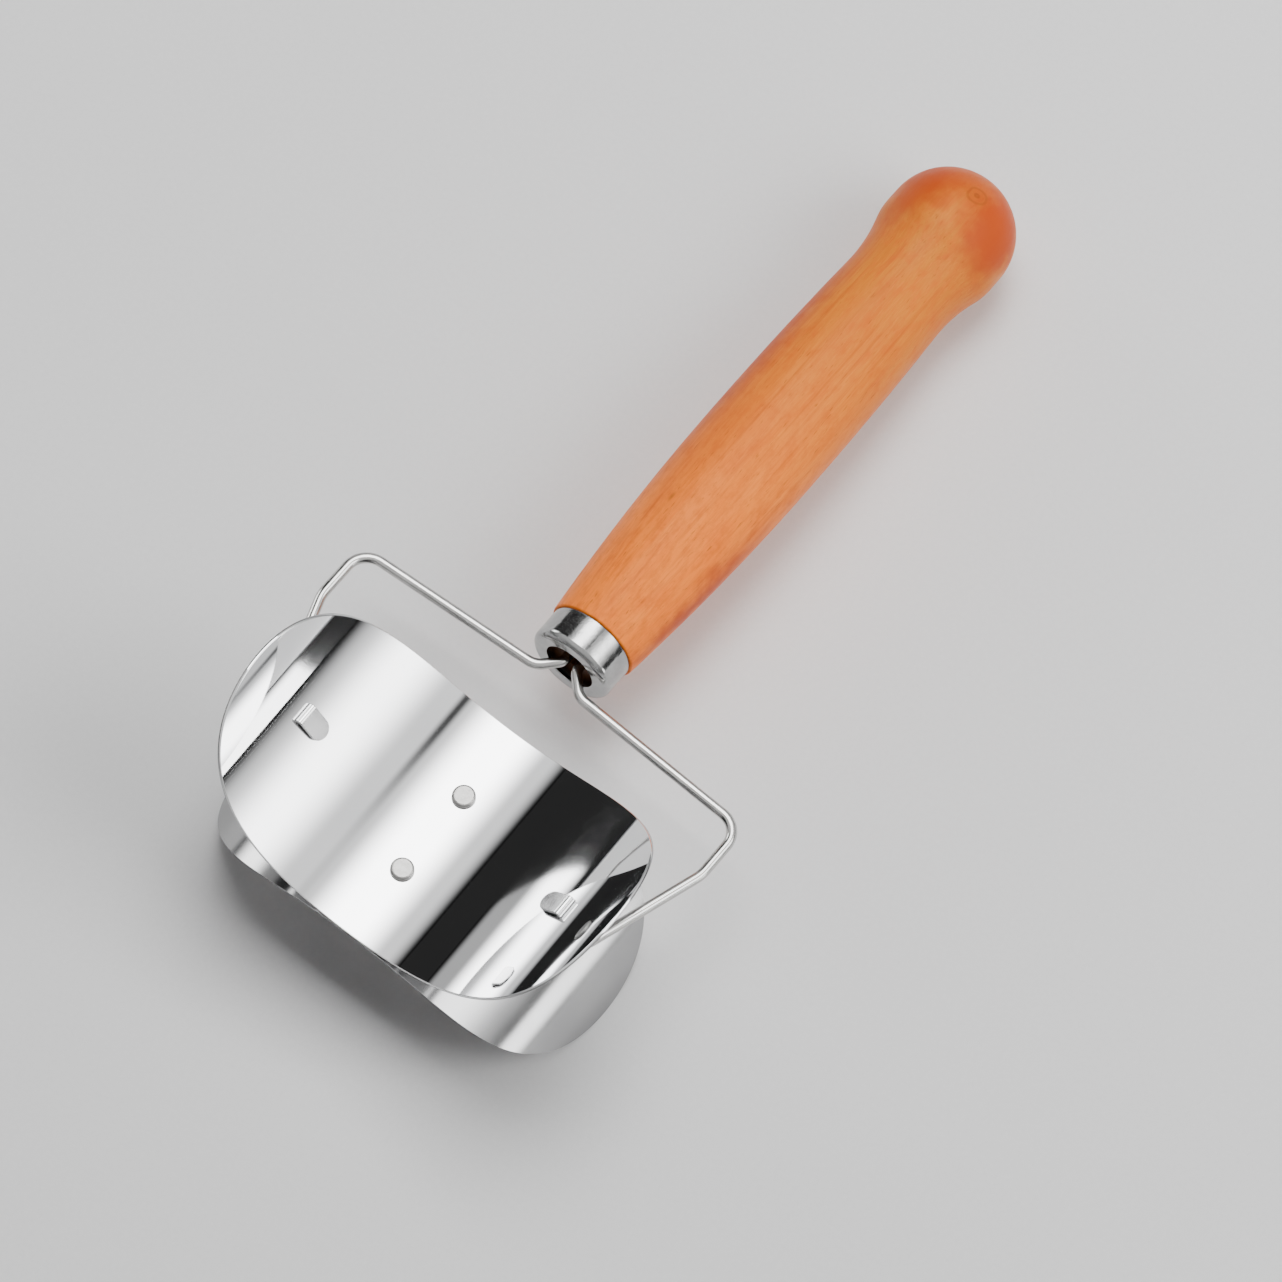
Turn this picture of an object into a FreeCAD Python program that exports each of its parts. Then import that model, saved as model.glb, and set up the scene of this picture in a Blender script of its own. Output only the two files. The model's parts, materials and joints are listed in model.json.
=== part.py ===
"""Rolling round-dough cutter: two bent steel blades that turn in a wire yoke on a wooden handle.

Row frame: +X along the axle, +Y towards the ball end of the handle, +Z up. The tool lies on a
table at z = 0, on the tips of its lower blade and on the ball of its handle.
Every blade edge lies on one cylinder about the axle, the cutting cylinder.
"""
import FreeCAD, Part
import math
import os
import Sketcher

# Driving dimensions, in millimetres.
SIZES = {
    # Cutting roller: the blades are arcs of sheet, back to back, trimmed to the cutting cylinder.
    "cut_radius": 26.5,
    "bend_radius": 49.6,
    "blade_thickness": 0.6,
    "blade_overrun": 29.0,
    "roller_shift": 1.6,
    # Centre rivets.
    "rivet_pitch": 19.4,
    "shank_radius": 1.3,
    "shank_clearance": 0.02,
    "head_radius": 2.4,
    "head_height": 1.0,
    "head_rounding": 0.3,
    "head_seat_gap": 0.07,
    # Bearing struts: a sheet strip with a tongue at each end, folded flat on the blade.
    "strut_place": 32.3,
    "strut_thickness": 0.7,
    "strut_width": 9.0,
    "strut_end_gap": 0.05,
    "tongue_width": 4.6,
    "tongue_bend": 0.55,
    "tongue_crest": 14.5,
    "tongue_tip_place": 27.0,
    "tongue_gap": 0.03,
    "tongue_rounding": 2.2,
    "slot_clearance": 0.1,
    "bearing_clearance": 0.06,
    "strut_corner": 1.5,
    # Yoke: one wire, from stub to stub by way of a hairpin tang inside the handle.
    "wire_radius": 1.1,
    "stub_end": 27.0,
    "stub_corner": 38.7,
    "stub_bend": 3.2,
    "arm_place": 47.3,
    "arm_kink": 26.7,
    "arm_kink_bend": 9.0,
    "yoke_corner": 39.7,
    "yoke_corner_bend": 5.0,
    "neck_place": 5.5,
    "neck_corner": 41.7,
    "neck_bend": 4.0,
    "leg_place": 1.6,
    "leg_corner": 45.9,
    "leg_bend": 2.4,
    "tang_end": 92.0,
    "tang_bend": 1.4,
    # Ferrule: a drawn cap over the front end of the handle.
    "ferrule_front": 45.6,
    "ferrule_length": 7.5,
    "ferrule_radius": 9.35,
    "ferrule_wall": 0.5,
    "ferrule_rounding": 1.5,
    "ferrule_mouth": 5.6,
    "ferrule_fit": 0.02,
    # Turned handle, measured from the back edge of the ferrule.
    "tenon_gap": 1.5,
    "tenon_rounding": 0.9,
    "bore_radius": 2.75,
    "bore_depth": 40.0,
    "wood_front_radius": 9.8,
    "wood_front_rounding": 0.5,
    "belly_radius": 12.65,
    "belly_front_place": 29.0,
    "belly_front_rounding": 550.0,
    "belly_back_place": 79.5,
    "belly_back_rounding": 880.0,
    "throat_radius": 11.54,
    "throat_place": 105.95,
    "throat_rounding": 38.0,
    "ball_radius": 13.9,
    "ball_shoulder_place": 114.0,
    "ball_shoulder_rounding": 13.5,
    "ball_end_place": 132.7,
    "ball_end_rounding": 13.6,
}

# Expressions that several pieces share.
BLADE_INNER = "(sizes.bend_radius - sizes.blade_thickness)"
TILT_SINE = ("((sizes.cut_radius - sizes.ball_radius)"
             " / (sizes.ferrule_front + sizes.ferrule_length + sizes.ball_end_place"
             " - sizes.ball_radius))")
TILT = f"asin({TILT_SINE})"
HANDLE_END = "(sizes.ferrule_front + sizes.ferrule_length + sizes.ball_end_place)"
# Puts the middle of the tool's length at y = 0.
AXLE_PLACE = (f"(-(({HANDLE_END} - sizes.ball_radius) * cos({TILT}) + sizes.ball_radius"
              " - sizes.cut_radius) / 2)")

# Lengths, in millimetres, below which a place counts as zero, two points as one, and two
# edges as equally long.
NOTHING = 1e-9
TOUCHING = 1e-6
EQUALLY_LONG = 1e-4

doc = FreeCAD.newDocument("rolling_cutter")
sheet = doc.addObject("Spreadsheet::Sheet", "sizes")
pieces = []


def fill_sheet():
    """One named cell for each driving dimension."""
    for row, (name, value) in enumerate(SIZES.items(), start=1):
        sheet.set(f"A{row}", str(value))
        sheet.setAlias(f"A{row}", name)
    doc.recompute()


def number(expression):
    """The value of an expression over the sheet."""
    value = sheet.evalExpression(expression)
    return float(getattr(value, "Value", value))


def new_piece(label):
    """An empty body that becomes one physical piece."""
    body = doc.addObject("PartDesign::Body", label)
    body.Label = label
    pieces.append(body)
    return body


def plane(body, role):
    """One of the body's own origin planes or axes."""
    return next(item for item in body.Origin.OriginFeatures if item.Role == role)


def new_sketch(body, name, role, lift=None):
    """A sketch on an origin plane, lifted along its normal by an expression where given."""
    sketch = body.newObject("Sketcher::SketchObject", name)
    sketch.AttachmentSupport = [(plane(body, role), "")]
    sketch.MapMode = "FlatFace"
    if lift:
        sketch.setExpression("AttachmentOffset.Base.z", lift)
    return sketch


def apply_rules(sketch, rules):
    """Add constraints in one step, and tie each sized one to the sheet by its expression."""
    indexes = sketch.addConstraint([rule for rule, expression in rules])
    for index, (rule, expression) in zip(indexes, rules):
        if expression:
            sketch.setExpression(f"Constraints[{index}]", expression)


def point_rules(shape, end, x_place, y_place):
    """The rules that fix a point by its distances from the sketch's origin."""
    rules = []
    for kind, place, axis in (("DistanceX", x_place, -2), ("DistanceY", y_place, -1)):
        value = number(place)
        if abs(value) < NOTHING:
            rules.append((Sketcher.Constraint("PointOnObject", shape, end, axis), None))
        elif value > 0:
            rules.append((Sketcher.Constraint(kind, -1, 1, shape, end, value), place))
        else:
            rules.append((Sketcher.Constraint(kind, shape, end, -1, 1, -value), f"-({place})"))
    return rules


def radius_rule(shape, radius):
    """The rule that sizes an arc or a circle."""
    return Sketcher.Constraint("Radius", shape, number(radius)), radius


def corner_cut(before, corner, after, radius):
    """Where a tangent arc of this radius leaves the two lines that meet at a corner."""
    to_before = (before - corner).normalize()
    to_after = (after - corner).normalize()
    half_angle = to_before.getAngle(to_after) / 2
    reach = radius / math.tan(half_angle)
    middle = (to_before + to_after).normalize()
    centre = corner + middle * (radius / math.sin(half_angle))
    start = corner + to_before * reach
    end = corner + to_after * reach
    return start, centre - middle * radius, end


def rounded_path(sketch, corners, closed):
    """Lines through the corners, with a tangent arc at each corner that has a radius.

    A corner is (x, y) or (x, y, radius), all expressions over the sheet.
    """
    points = [FreeCAD.Vector(number(corner[0]), number(corner[1]), 0) for corner in corners]
    count = len(points)
    leave, arrive, arcs = list(points), list(points), {}
    for index, corner in enumerate(corners):
        if len(corner) == 3:
            before, after = points[index - 1], points[(index + 1) % count]
            start, middle, end = corner_cut(before, points[index], after, number(corner[2]))
            arrive[index], leave[index] = start, end
            arcs[index] = sketch.addGeometry(Part.Arc(start, middle, end), False)
    last = count if closed else count - 1
    lines = {}
    for index in range(last):
        line = Part.LineSegment(leave[index], arrive[(index + 1) % count])
        lines[index] = sketch.addGeometry(line, False)
    rules = []
    for index, corner in enumerate(corners):
        line_in = lines.get((index - 1) % count if closed else index - 1)
        line_out = lines.get(index)
        if index in arcs:
            tip = sketch.addGeometry(Part.Point(points[index]), True)
            rules += arc_rules(sketch, arcs[index], line_in, line_out)
            rules.append((Sketcher.Constraint("PointOnObject", tip, 1, line_in), None))
            rules.append((Sketcher.Constraint("PointOnObject", tip, 1, line_out), None))
            rules += point_rules(tip, 1, corner[0], corner[1])
            rules.append(radius_rule(arcs[index], corner[2]))
            continue
        if line_in is not None and line_out is not None:
            rules.append((Sketcher.Constraint("Coincident", line_in, 2, line_out, 1), None))
        if line_out is not None:
            rules += point_rules(line_out, 1, corner[0], corner[1])
        else:
            rules += point_rules(line_in, 2, corner[0], corner[1])
    apply_rules(sketch, rules)


def arc_rules(sketch, arc, line_in, line_out):
    """The rules that join an arc's ends tangentially to the lines before and after it."""
    entry = sketch.getPoint(line_in, 2)
    starts_at_entry = sketch.getPoint(arc, 1).distanceToPoint(entry) < TOUCHING
    entry_end, exit_end = (1, 2) if starts_at_entry else (2, 1)
    return [
        (Sketcher.Constraint("Tangent", line_in, 2, arc, entry_end), None),
        (Sketcher.Constraint("Tangent", line_out, 1, arc, exit_end), None),
    ]


def add_circle(sketch, x_place, y_place, radius):
    """A circle with its centre and radius tied to the sheet."""
    centre = FreeCAD.Vector(number(x_place), number(y_place), 0)
    normal = FreeCAD.Vector(0, 0, 1)
    circle = sketch.addGeometry(Part.Circle(centre, normal, number(radius)), False)
    rules = point_rules(circle, 3, x_place, y_place)
    rules.append(radius_rule(circle, radius))
    apply_rules(sketch, rules)


def add_rectangle(sketch, x_low, x_high, y_low, y_high):
    """A rectangle with its sides tied to the sheet."""
    corners = [(x_low, y_low), (x_high, y_low), (x_high, y_high), (x_low, y_high)]
    rounded_path(sketch, corners, closed=True)


def pad_both_ways(body, name, sketch, length):
    """Pad a sketch half of the length to each side of its plane."""
    pad = body.newObject("PartDesign::Pad", name)
    pad.Profile = sketch
    pad.Midplane = True
    pad.setExpression("Length", length)
    doc.recompute()
    return pad


def cut_through(body, name, sketch):
    """Cut a sketch through the body both ways, and check that it removed something."""
    before = body.Shape.Volume
    pocket = body.newObject("PartDesign::Pocket", name)
    pocket.Profile = sketch
    pocket.Midplane = True
    pocket.Type = "ThroughAll"
    doc.recompute()
    if body.Shape.Volume >= before:
        raise RuntimeError(f"{name} removed nothing from {body.Label}")
    return pocket


def revolve(body, sketch):
    """Turn a sketch a full circle about its vertical axis."""
    turned = body.newObject("PartDesign::Revolution", "turned")
    turned.Profile = sketch
    turned.ReferenceAxis = (sketch, ["V_Axis"])
    turned.Angle = 360
    doc.recompute()


def sweep(body, name, profile, spine):
    """Sweep a profile along a path."""
    pipe = body.newObject("PartDesign::AdditivePipe", name)
    pipe.Profile = profile
    pipe.Spine = spine
    doc.recompute()


def mirror(body, name, originals, role):
    """Repeat features on the other side of an origin plane."""
    mirrored = body.newObject("PartDesign::Mirrored", name)
    mirrored.Originals = originals
    mirrored.MirrorPlane = (plane(body, role), [""])
    body.Tip = mirrored
    doc.recompute()


def place(body, spot, axis, angle):
    """Set a body in the row frame: turned about an axis, then moved to a spot (x, y, z)."""
    turn = FreeCAD.Rotation(FreeCAD.Vector(*axis), number(angle))
    body.Placement = FreeCAD.Placement(FreeCAD.Vector(*[number(step) for step in spot]), turn)
    for letter, step in zip("xyz", spot):
        body.setExpression(f"Placement.Base.{letter}", step)
    if angle != "0":
        body.setExpression("Placement.Rotation.Angle", angle)


def place_on_roller(body, y_offset="0", axis=(0, 0, 1), angle="0"):
    """Set a body on the axle, which is one cutting radius above the table.

    The roller has slid along the axle by part of its play.
    """
    spot = ("sizes.roller_shift", f"{AXLE_PLACE} + {y_offset}", "sizes.cut_radius")
    place(body, spot, axis, angle)


def place_on_yoke(body, distance="0"):
    """Set a body this far up the handle's axis, which slopes down from the axle to the table."""
    y_place = f"{AXLE_PLACE} + ({distance}) * cos({TILT})"
    z_place = f"sizes.cut_radius - ({distance}) * {TILT_SINE}"
    place(body, ("0", y_place, z_place), (-1, 0, 0), TILT)


def make_blade(label, angle):
    """Sheet bent to an arc, trimmed to the cutting cylinder, with rivet holes and tongue slots."""
    body = new_piece(label)
    profile = new_sketch(body, "arc_of_sheet", "XZ_Plane")
    arcs = [add_bottom_arc(profile, radius) for radius in ("sizes.bend_radius", BLADE_INNER)]
    for end in (1, 2):
        points = [profile.getPoint(arc, end) for arc in arcs]
        line = profile.addGeometry(Part.LineSegment(*points), False)
        joints = [Sketcher.Constraint("Coincident", line, line_end, arc, end)
                  for line_end, arc in enumerate(arcs, start=1)]
        apply_rules(profile, [(joint, None) for joint in joints])
    pad_both_ways(body, "sheet", profile, "sizes.cut_radius * 2")

    outside = new_sketch(body, "outside_cutting_cylinder", "YZ_Plane")
    add_circle(outside, "0", "0", "sizes.cut_radius")
    add_circle(outside, "0", "0", "sizes.cut_radius * 2")
    cut_through(body, "trimmed_edge", outside)

    holes = new_sketch(body, "holes", "XY_Plane")
    for side in ("", "-"):
        y_place = f"{side}sizes.rivet_pitch / 2"
        add_circle(holes, "0", y_place, "sizes.shank_radius + sizes.shank_clearance")
    slot_half = "(sizes.strut_thickness / 2 + sizes.slot_clearance)"
    slot_side = "sizes.tongue_width / 2 + sizes.slot_clearance"
    near, far = f"sizes.strut_place - {slot_half}", f"sizes.strut_place + {slot_half}"
    add_rectangle(holes, near, far, f"-({slot_side})", slot_side)
    add_rectangle(holes, f"-({far})", f"-({near})", f"-({slot_side})", slot_side)
    cut_through(body, "pierced", holes)
    place_on_roller(body, "0", (1, 0, 0), angle)


def add_bottom_arc(sketch, radius):
    """An arc about the blade's bend centre, up on both sides to the overrun height."""
    size = number(radius)
    height, top = number("sizes.bend_radius"), number("sizes.blade_overrun")
    half = math.sqrt(size * size - (height - top) * (height - top))
    start = FreeCAD.Vector(-half, top, 0)
    end = FreeCAD.Vector(half, top, 0)
    bottom = FreeCAD.Vector(0, height - size, 0)
    arc = sketch.addGeometry(Part.Arc(start, bottom, end), False)
    rules = point_rules(arc, 3, "0", "sizes.bend_radius")
    rules.append(radius_rule(arc, radius))
    for point in (1, 2):
        reach = Sketcher.Constraint("DistanceY", -1, 1, arc, point, top)
        rules.append((reach, "sizes.blade_overrun"))
    apply_rules(sketch, rules)
    return arc


def make_rivet(label, y_offset):
    """A solid rivet with a flat round head on each side of the two blades."""
    body = new_piece(label)
    seat = "(sizes.blade_thickness + sizes.head_seat_gap)"
    top = f"({seat} + sizes.head_height)"
    half = new_sketch(body, "half_section", "XZ_Plane")
    corners = [
        ("0", f"-{top}"),
        ("sizes.head_radius", f"-{top}", "sizes.head_rounding"),
        ("sizes.head_radius", f"-{seat}"),
        ("sizes.shank_radius", f"-{seat}"),
        ("sizes.shank_radius", seat),
        ("sizes.head_radius", seat),
        ("sizes.head_radius", top, "sizes.head_rounding"),
        ("0", top),
    ]
    rounded_path(half, corners, closed=True)
    revolve(body, half)
    place_on_roller(body, y_offset)


def make_strut(label, angle):
    """A strip between the blades that carries the wire, its tongues folded towards the middle."""
    body = new_piece(label)
    tip_radius = f"({BLADE_INNER} - sizes.tongue_gap - sizes.strut_thickness / 2)"
    tip_height = f"sizes.bend_radius - sqrt({tip_radius}^2 - sizes.tongue_tip_place^2)"
    path = new_sketch(body, "tongue_path", "XZ_Plane")
    corners = [
        ("sizes.strut_place", "0"),
        ("sizes.strut_place", "sizes.tongue_crest", "sizes.tongue_bend"),
        ("sizes.tongue_tip_place", tip_height),
    ]
    rounded_path(path, corners, closed=False)
    section = new_sketch(body, "tongue_section", "XY_Plane")
    half_thickness, half_width = "sizes.strut_thickness / 2", "sizes.tongue_width / 2"
    add_rectangle(section, f"sizes.strut_place - {half_thickness}",
                  f"sizes.strut_place + {half_thickness}", f"-{half_width}", half_width)
    sweep(body, "tongue", section, path)
    round_tongue_tip(body)
    mirror(body, "both_tongues", body.Group[-2:], "XY_Plane")

    inner_face = f"(sizes.strut_place - {half_thickness})"
    strip_top = (f"(sizes.bend_radius - sqrt(sizes.bend_radius^2 - {inner_face}^2)"
                 " - sizes.strut_end_gap)")
    side = "sizes.strut_width / 2"
    web = new_sketch(body, "web_outline", "YZ_Plane", "sizes.strut_place")
    corners = [
        (f"-{side}", f"-{strip_top}", "sizes.strut_corner"),
        (side, f"-{strip_top}", "sizes.strut_corner"),
        (side, strip_top, "sizes.strut_corner"),
        (f"-{side}", strip_top, "sizes.strut_corner"),
    ]
    rounded_path(web, corners, closed=True)
    pad_both_ways(body, "web", web, "sizes.strut_thickness")
    bearing = new_sketch(body, "bearing_outline", "YZ_Plane", "sizes.strut_place")
    add_circle(bearing, "0", "0", "sizes.wire_radius + sizes.bearing_clearance")
    cut_through(body, "bearing_hole", bearing)
    place_on_roller(body, "0", (0, 0, 1), angle)


def round_tongue_tip(body):
    """Round the two corners at the free end of a tongue."""
    thickness = number("sizes.strut_thickness")
    tip_place = number("sizes.tongue_tip_place")
    corner_edges = []
    for index, edge in enumerate(body.Shape.Edges, start=1):
        centre = edge.CenterOfMass
        short = abs(edge.Length - thickness) < EQUALLY_LONG
        at_tip = abs(centre.x - tip_place) < thickness and centre.z > thickness
        if short and at_tip:
            corner_edges.append(f"Edge{index}")
    fillet = body.newObject("PartDesign::Fillet", "round_tip")
    fillet.Base = (body.Group[-2], corner_edges)
    fillet.setExpression("Radius", "sizes.tongue_rounding")
    doc.recompute()


def make_yoke():
    """One wire, swept from the right stub's end by way of the hairpin to the left stub's end."""
    body = new_piece("yoke_wire")
    right_half = [
        ("sizes.stub_end", "0"),
        ("sizes.stub_corner", "0", "sizes.stub_bend"),
        ("sizes.arm_place", "sizes.arm_kink", "sizes.arm_kink_bend"),
        ("sizes.arm_place", "sizes.yoke_corner", "sizes.yoke_corner_bend"),
        ("sizes.neck_place", "sizes.neck_corner", "sizes.neck_bend"),
        ("sizes.leg_place", "sizes.leg_corner", "sizes.leg_bend"),
        ("sizes.leg_place", "sizes.tang_end", "sizes.tang_bend"),
    ]
    left_half = [(f"-{corner[0]}", *corner[1:]) for corner in reversed(right_half)]
    path = new_sketch(body, "path", "XY_Plane")
    rounded_path(path, right_half + left_half, closed=False)
    section = new_sketch(body, "wire_section", "YZ_Plane", "sizes.stub_end")
    add_circle(section, "0", "0", "sizes.wire_radius")
    sweep(body, "wire", section, path)
    place_on_yoke(body)


def make_ferrule():
    """A thin cap with a rounded rim and a turned-in lip round its mouth."""
    body = new_piece("ferrule")
    half = new_sketch(body, "half_section", "XY_Plane")
    inside = "(sizes.ferrule_radius - sizes.ferrule_wall)"
    corners = [
        ("sizes.ferrule_mouth", "0"),
        ("sizes.ferrule_radius", "0", "sizes.ferrule_rounding"),
        ("sizes.ferrule_radius", "sizes.ferrule_length"),
        (inside, "sizes.ferrule_length"),
        (inside, "sizes.ferrule_wall", "sizes.ferrule_rounding - sizes.ferrule_wall"),
        ("sizes.ferrule_mouth", "sizes.ferrule_wall"),
    ]
    rounded_path(half, corners, closed=True)
    revolve(body, half)
    place_on_yoke(body, "sizes.ferrule_front")


def make_handle():
    """A turned handle: tenon in the ferrule, bore for the tang, belly, throat and ball."""
    body = new_piece("handle")
    half = new_sketch(body, "half_section", "XY_Plane")
    tenon_radius = "(sizes.ferrule_radius - sizes.ferrule_wall - sizes.ferrule_fit)"
    tenon_front = "(sizes.ferrule_wall + sizes.tenon_gap - sizes.ferrule_length)"
    corners = [
        ("sizes.bore_radius", tenon_front),
        (tenon_radius, tenon_front, "sizes.tenon_rounding"),
        (tenon_radius, "0"),
        ("sizes.wood_front_radius", "0", "sizes.wood_front_rounding"),
        ("sizes.belly_radius", "sizes.belly_front_place", "sizes.belly_front_rounding"),
        ("sizes.belly_radius", "sizes.belly_back_place", "sizes.belly_back_rounding"),
        ("sizes.throat_radius", "sizes.throat_place", "sizes.throat_rounding"),
        ("sizes.ball_radius", "sizes.ball_shoulder_place", "sizes.ball_shoulder_rounding"),
        ("sizes.ball_radius", "sizes.ball_end_place", "sizes.ball_end_rounding"),
        ("0", "sizes.ball_end_place"),
        ("0", "sizes.bore_depth"),
        ("sizes.bore_radius", "sizes.bore_depth"),
    ]
    rounded_path(half, corners, closed=True)
    revolve(body, half)
    place_on_yoke(body, "sizes.ferrule_front + sizes.ferrule_length")


def check_document():
    """Stop if any feature failed or any piece is not one valid solid."""
    for item in doc.Objects:
        if "Invalid" in item.State or "Error" in item.State:
            raise RuntimeError(f"{item.Label} did not recompute: {item.State}")
    for body in pieces:
        shape = body.Shape
        if shape.isNull() or not shape.isValid() or len(shape.Solids) != 1:
            raise RuntimeError(f"{body.Label} is not one valid solid")


def export_pieces():
    """Write each piece to its own STEP file."""
    os.makedirs("parts", exist_ok=True)
    for body in pieces:
        body.Shape.exportStep(f"parts/{body.Label}.step")
        box = body.Shape.BoundBox
        print(f"{body.Label}: volume {body.Shape.Volume:.1f} mm3,"
              f" x {box.XMin:.2f} to {box.XMax:.2f}, y {box.YMin:.2f} to {box.YMax:.2f},"
              f" z {box.ZMin:.2f} to {box.ZMax:.2f}")


fill_sheet()
make_handle()
make_ferrule()
make_yoke()
make_blade("upper_blade", "0")
make_blade("lower_blade", "180")
make_rivet("front_rivet", "-sizes.rivet_pitch / 2")
make_rivet("rear_rivet", "sizes.rivet_pitch / 2")
make_strut("right_bearing_strut", "0")
make_strut("left_bearing_strut", "180")
doc.recompute()
check_document()
export_pieces()
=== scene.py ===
"""Looks for the rolling round-dough cutter: detailed meshes, materials, studio and camera.

The tool's lengths are in millimetres here, and turned to metres where a mesh is made; the studio
is in metres. Angles are in degrees unless a name says otherwise. The roller's pieces are made in
the roller's frame (centre of the axle, +X along it, +Z up). The yoke's, ferrule's and handle's
pieces are made in the hand frame (same centre, +Y up the handle's axis).
"""
import json
import math

import bmesh
import bpy
import numpy as np
from mathutils import Matrix, Vector
from mathutils.geometry import delaunay_2d_cdt


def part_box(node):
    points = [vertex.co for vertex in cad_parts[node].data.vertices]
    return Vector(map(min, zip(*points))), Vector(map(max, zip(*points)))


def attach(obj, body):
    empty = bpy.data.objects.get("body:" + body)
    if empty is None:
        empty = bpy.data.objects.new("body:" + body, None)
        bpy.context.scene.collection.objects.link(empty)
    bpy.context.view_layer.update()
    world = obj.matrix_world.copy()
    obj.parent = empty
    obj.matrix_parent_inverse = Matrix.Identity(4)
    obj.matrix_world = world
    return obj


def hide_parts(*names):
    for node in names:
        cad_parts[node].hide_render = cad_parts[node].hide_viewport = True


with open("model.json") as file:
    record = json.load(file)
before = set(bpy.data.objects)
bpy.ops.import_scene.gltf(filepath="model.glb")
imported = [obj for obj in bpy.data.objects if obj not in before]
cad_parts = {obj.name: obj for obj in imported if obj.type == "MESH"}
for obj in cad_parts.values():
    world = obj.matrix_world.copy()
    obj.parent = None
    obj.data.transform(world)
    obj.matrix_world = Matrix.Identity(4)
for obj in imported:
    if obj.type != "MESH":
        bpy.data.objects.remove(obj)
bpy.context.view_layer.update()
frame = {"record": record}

MM = 0.001

# ---------------------------------------------------------------- places, all from the frame
record = frame["record"]
AXLE = Vector(record["behaviour"]["joints"][0]["pos_m"]) / MM
GRIP_AXIS = Vector(record["mounts"][0]["axis"])
blade_low, blade_high = (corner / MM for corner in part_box("upper_blade"))
yoke_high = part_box("yoke_wire")[1] / MM

CUT_RADIUS = blade_high.z - AXLE.z
BLADE_REACH = (blade_high.x - blade_low.x) / 2
ROLLER_SHIFT = (blade_high.x + blade_low.x) / 2
BEND_RADIUS = (BLADE_REACH ** 2 + CUT_RADIUS ** 2) / (2 * CUT_RADIUS)
BLADE_THICKNESS = 0.6

ROLLER_FRAME = Matrix.Translation((ROLLER_SHIFT, AXLE.y, AXLE.z))
HAND_FRAME = Matrix.Translation(AXLE) @ Matrix.Rotation(math.asin(GRIP_AXIS.z), 4, "X")


# ---------------------------------------------------------------- mesh helpers
def add_object(name, vertices, faces, transform, body, slot, node):
    """A mesh object from points in millimetres that rides on a body and replaces a CAD node."""
    mesh = bpy.data.meshes.new(name)
    points = [transform @ Vector(vertex) * MM for vertex in vertices]
    mesh.from_pydata(points, [], faces)
    mesh.validate()
    builder = bmesh.new()
    builder.from_mesh(mesh)
    bmesh.ops.recalc_face_normals(builder, faces=builder.faces)
    builder.to_mesh(mesh)
    builder.free()
    mesh.shade_smooth()
    piece = bpy.data.objects.new(name, mesh)
    bpy.context.scene.collection.objects.link(piece)
    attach(piece, body)
    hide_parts(node)
    return piece


def ring_faces(rows, columns, close_rows):
    """Quads of a grid of rings, each ring closed; the last ring joins the first if asked."""
    faces = []
    last = rows if close_rows else rows - 1
    for row in range(last):
        upper = ((row + 1) % rows) * columns
        lower = row * columns
        for column in range(columns):
            beside = (column + 1) % columns
            faces.append((lower + column, lower + beside, upper + beside, upper + column))
    return faces


def arc_points(centre, radius, start, end, steps):
    """Points of an arc in a plane, from one angle to another, in degrees."""
    angles = np.radians(np.linspace(start, end, steps + 1))
    return [(centre[0] + radius * math.cos(a), centre[1] + radius * math.sin(a)) for a in angles]


def rounded_outline(corners, steps):
    """A polyline with a tangent arc at each corner (x, y, radius) that has a radius."""
    points = []
    count = len(corners)
    for index, corner in enumerate(corners):
        here = Vector(corner[:2])
        if len(corner) < 3:
            points.append(tuple(here))
            continue
        to_before = (Vector(corners[index - 1][:2]) - here).normalized()
        to_after = (Vector(corners[(index + 1) % count][:2]) - here).normalized()
        half_angle = to_before.angle(to_after) / 2
        radius = corner[2]
        reach = radius / math.tan(half_angle)
        centre = here + (to_before + to_after).normalized() * radius / math.sin(half_angle)
        first = here + to_before * reach - centre
        last = here + to_after * reach - centre
        turn = first.angle_signed(last)
        for step in range(steps + 1):
            share = -turn * step / steps
            spoke = Matrix.Rotation(share, 2) @ first
            points.append(tuple(centre + spoke))
    return points


def refine(points, longest):
    """Split each stretch of an open polyline so that no stretch is longer than asked."""
    result = [points[0]]
    for start, end in zip(points, points[1:]):
        pieces = max(1, math.ceil(math.dist(start, end) / longest))
        for step in range(1, pieces + 1):
            share = step / pieces
            result.append(tuple(a + (b - a) * share for a, b in zip(start, end)))
    return result


def lathe(name, outline, turns, transform, body, slot, node, closed=False, wobble=None):
    """A turned piece: an outline of (radius, height) points revolved about the second axis."""
    vertices = []
    for radius, height in outline:
        for step in range(turns):
            angle = 2 * math.pi * step / turns
            out = radius * (1 + (wobble(angle, height) if wobble else 0))
            vertices.append((out * math.cos(angle), height, out * math.sin(angle)))
    faces = ring_faces(len(outline), turns, closed)
    if not closed:
        faces.append(tuple(range(turns)))
        last = (len(outline) - 1) * turns
        faces.append(tuple(range(last, last + turns)))
    return add_object(name, vertices, faces, transform, body, slot, node)


# ---------------------------------------------------------------- blades
EDGE_BEVEL = 0.09
OUTLINE_POINTS = 420
HOLE_POINTS = 24
SLOT_POINTS = 48
GRID_ALONG, GRID_ACROSS = 0.7, 2.5
GRID_GUARD = 0.35
RIVET_PITCH = 19.4
RIVET_SHANK_RADIUS = 1.3
STRUT_PLACE = 32.3
STRUT_THICKNESS = 0.7
TONGUE_WIDTH = 4.6
SLOT_CLEARANCE = 0.1
SAME_POINT = 1e-6


def even_loop(points, count):
    """A closed loop resampled at even spacing."""
    loop = np.array(points + [points[0]])
    lengths = np.hypot(*np.diff(loop, axis=0).T)
    along = np.concatenate([[0], np.cumsum(lengths)])
    places = np.linspace(0, along[-1], count, endpoint=False)
    return [(np.interp(p, along, loop[:, 0]), np.interp(p, along, loop[:, 1])) for p in places]


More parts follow.
